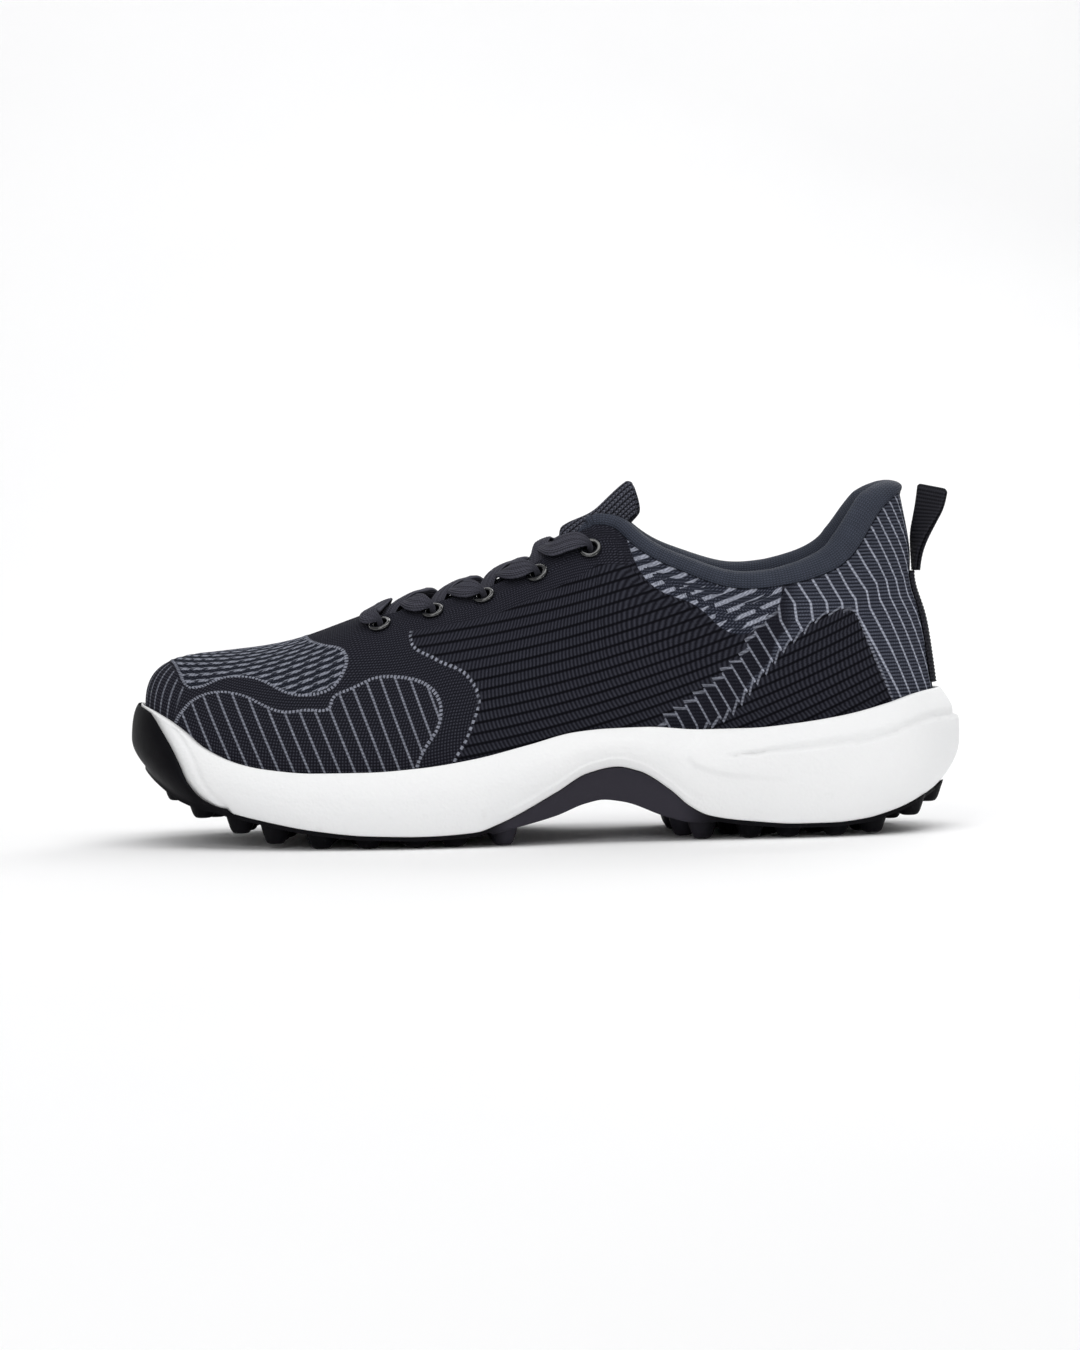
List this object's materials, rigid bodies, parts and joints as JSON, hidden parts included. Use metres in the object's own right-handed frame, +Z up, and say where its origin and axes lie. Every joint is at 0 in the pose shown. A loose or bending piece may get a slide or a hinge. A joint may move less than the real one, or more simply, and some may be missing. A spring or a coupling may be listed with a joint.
{
  "type": "golf shoe",
  "caption": "Left low-cut spikeless golf shoe: knit upper with flat lace, metal eyelets, padded collar and heel pull loop, on a white foam midsole and studded rubber outsole.",
  "frame": {"origin": "centre of the bounding box's bottom, on the ground plane under the studs", "axes": "+X from the toe to the heel, +Y to the medial (inner) side, +Z up"},
  "size_m": [0.2998, 0.1061, 0.1283],
  "materials": {
    "rubber": "satin moulded rubber",
    "foam": "matt moulded foam with a fine pebble grain",
    "shank": "plain fibre sheet",
    "board": "non-woven board",
    "sockliner": "jersey on foam",
    "knit": "engineered knit with light stitch lines",
    "stiffener": "thermoplastic sheet",
    "lining": "smooth jersey",
    "padding": "open-cell foam",
    "tongue_mesh": "coarse open mesh",
    "tape": "reinforcing tape",
    "lace": "flat ribbed weave",
    "aglet": "clear-coated film",
    "webbing": "ribbed webbing",
    "eyelet_metal": "gloss black"
  },
  "bodies": {
    "shoe": {"outsole": "rubber", "midsole": "foam", "shank_plate": "shank", "strobel_board": "board", "sockliner": "sockliner", "upper": "knit", "heel_counter": "stiffener", "toe_puff": "stiffener", "quarter_lining": "lining", "collar_foam": "padding", "collar_lining": "lining", "eyestay_lateral": "tape", "eyestay_medial": "tape", "lace": "lace", "aglet_lateral": "aglet", "aglet_medial": "aglet", "heel_strip": "webbing", "eyelet_lateral_1": "eyelet_metal", "eyelet_lateral_2": "eyelet_metal", "eyelet_lateral_3": "eyelet_metal", "eyelet_lateral_4": "eyelet_metal", "eyelet_lateral_5": "eyelet_metal", "eyelet_medial_1": "eyelet_metal", "eyelet_medial_2": "eyelet_metal", "eyelet_medial_3": "eyelet_metal", "eyelet_medial_4": "eyelet_metal", "eyelet_medial_5": "eyelet_metal"},
    "tongue": {"tongue_face": "tongue_mesh", "tongue_foam": "padding", "tongue_lining": "lining"},
    "pull_loop": {"pull_loop": "webbing"}
  },
  "joints": [
    {"name": "tongue_tilt", "type": "hinge", "parent": "shoe", "child": "tongue", "pos_m": [-0.0635, 0.004, 0.0735], "axis": [0, 1, 0], "range_deg": [0, 12], "stiffness_Nm_per_rad": 0.6},
    {"name": "pull_loop_flex", "type": "hinge", "parent": "shoe", "child": "pull_loop", "pos_m": [0.1354, -0.0008, 0.0933], "axis": [0, 1, 0], "range_deg": [-3, 70], "stiffness_Nm_per_rad": 0.02}
  ]
}
